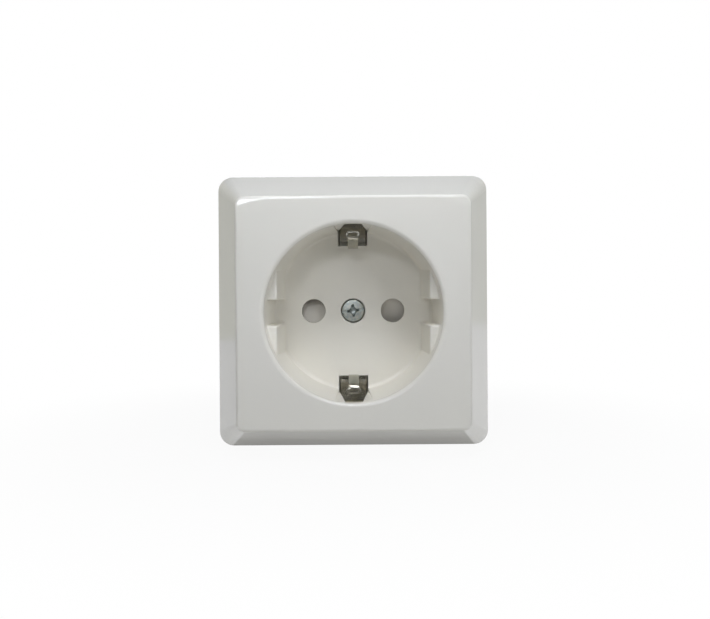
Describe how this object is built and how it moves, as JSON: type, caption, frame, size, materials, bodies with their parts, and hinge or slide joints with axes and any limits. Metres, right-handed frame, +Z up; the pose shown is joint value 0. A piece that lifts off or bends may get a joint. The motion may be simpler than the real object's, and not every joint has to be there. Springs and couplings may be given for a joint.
{
  "type": "wall socket",
  "caption": "Square surface-mounted wall socket with a round plug recess, shuttered pin holes, side earth clips and a central cover screw.",
  "frame": {"origin": "centre of the back face, on the socket's axis, in the plane of the wall", "axes": "+Z up, +X to the right seen from the front, +Y into the wall, so the front faces -Y"},
  "size_m": [0.065, 0.04, 0.065],
  "materials": {
    "cover_plastic": "polished white moulding",
    "base_plastic": "plain moulding",
    "shutter_plastic": "plain natural-white moulding",
    "zinc_plate": "bright zinc plating",
    "plated_strip": "nickel-plated strip",
    "contact_brass": "bare stamped brass",
    "spring_steel": "hard-drawn steel"
  },
  "bodies": {
    "housing": {"base": "base_plastic", "cover": "cover_plastic", "cover_screw": "zinc_plate", "shutter_cage": "shutter_plastic", "shutter_spring": "spring_steel", "cage_screws": "zinc_plate", "earth_strap": "plated_strip", "strap_rivets": "zinc_plate", "earth_clamp": "zinc_plate", "earth_screw": "zinc_plate", "pin_contact_right": "contact_brass", "pin_contact_left": "contact_brass", "contact_spring_right": "spring_steel", "contact_spring_left": "spring_steel", "contact_rivet_right": "contact_brass", "contact_rivet_left": "contact_brass", "terminal_clamp_right": "zinc_plate", "terminal_clamp_left": "zinc_plate", "terminal_screw_right": "zinc_plate", "terminal_screw_left": "zinc_plate"},
    "shutter_plate": {"shutter": "shutter_plastic"}
  },
  "joints": [
    {"name": "shutter_turn", "type": "hinge", "parent": "housing", "child": "shutter_plate", "pos_m": [0, -0.01865, 0], "axis": [0, -1, 0], "range_deg": [0, 40], "stiffness_Nm_per_rad": 0.03, "springref_deg": -17.19, "deforming": ["shutter_spring"]}
  ]
}
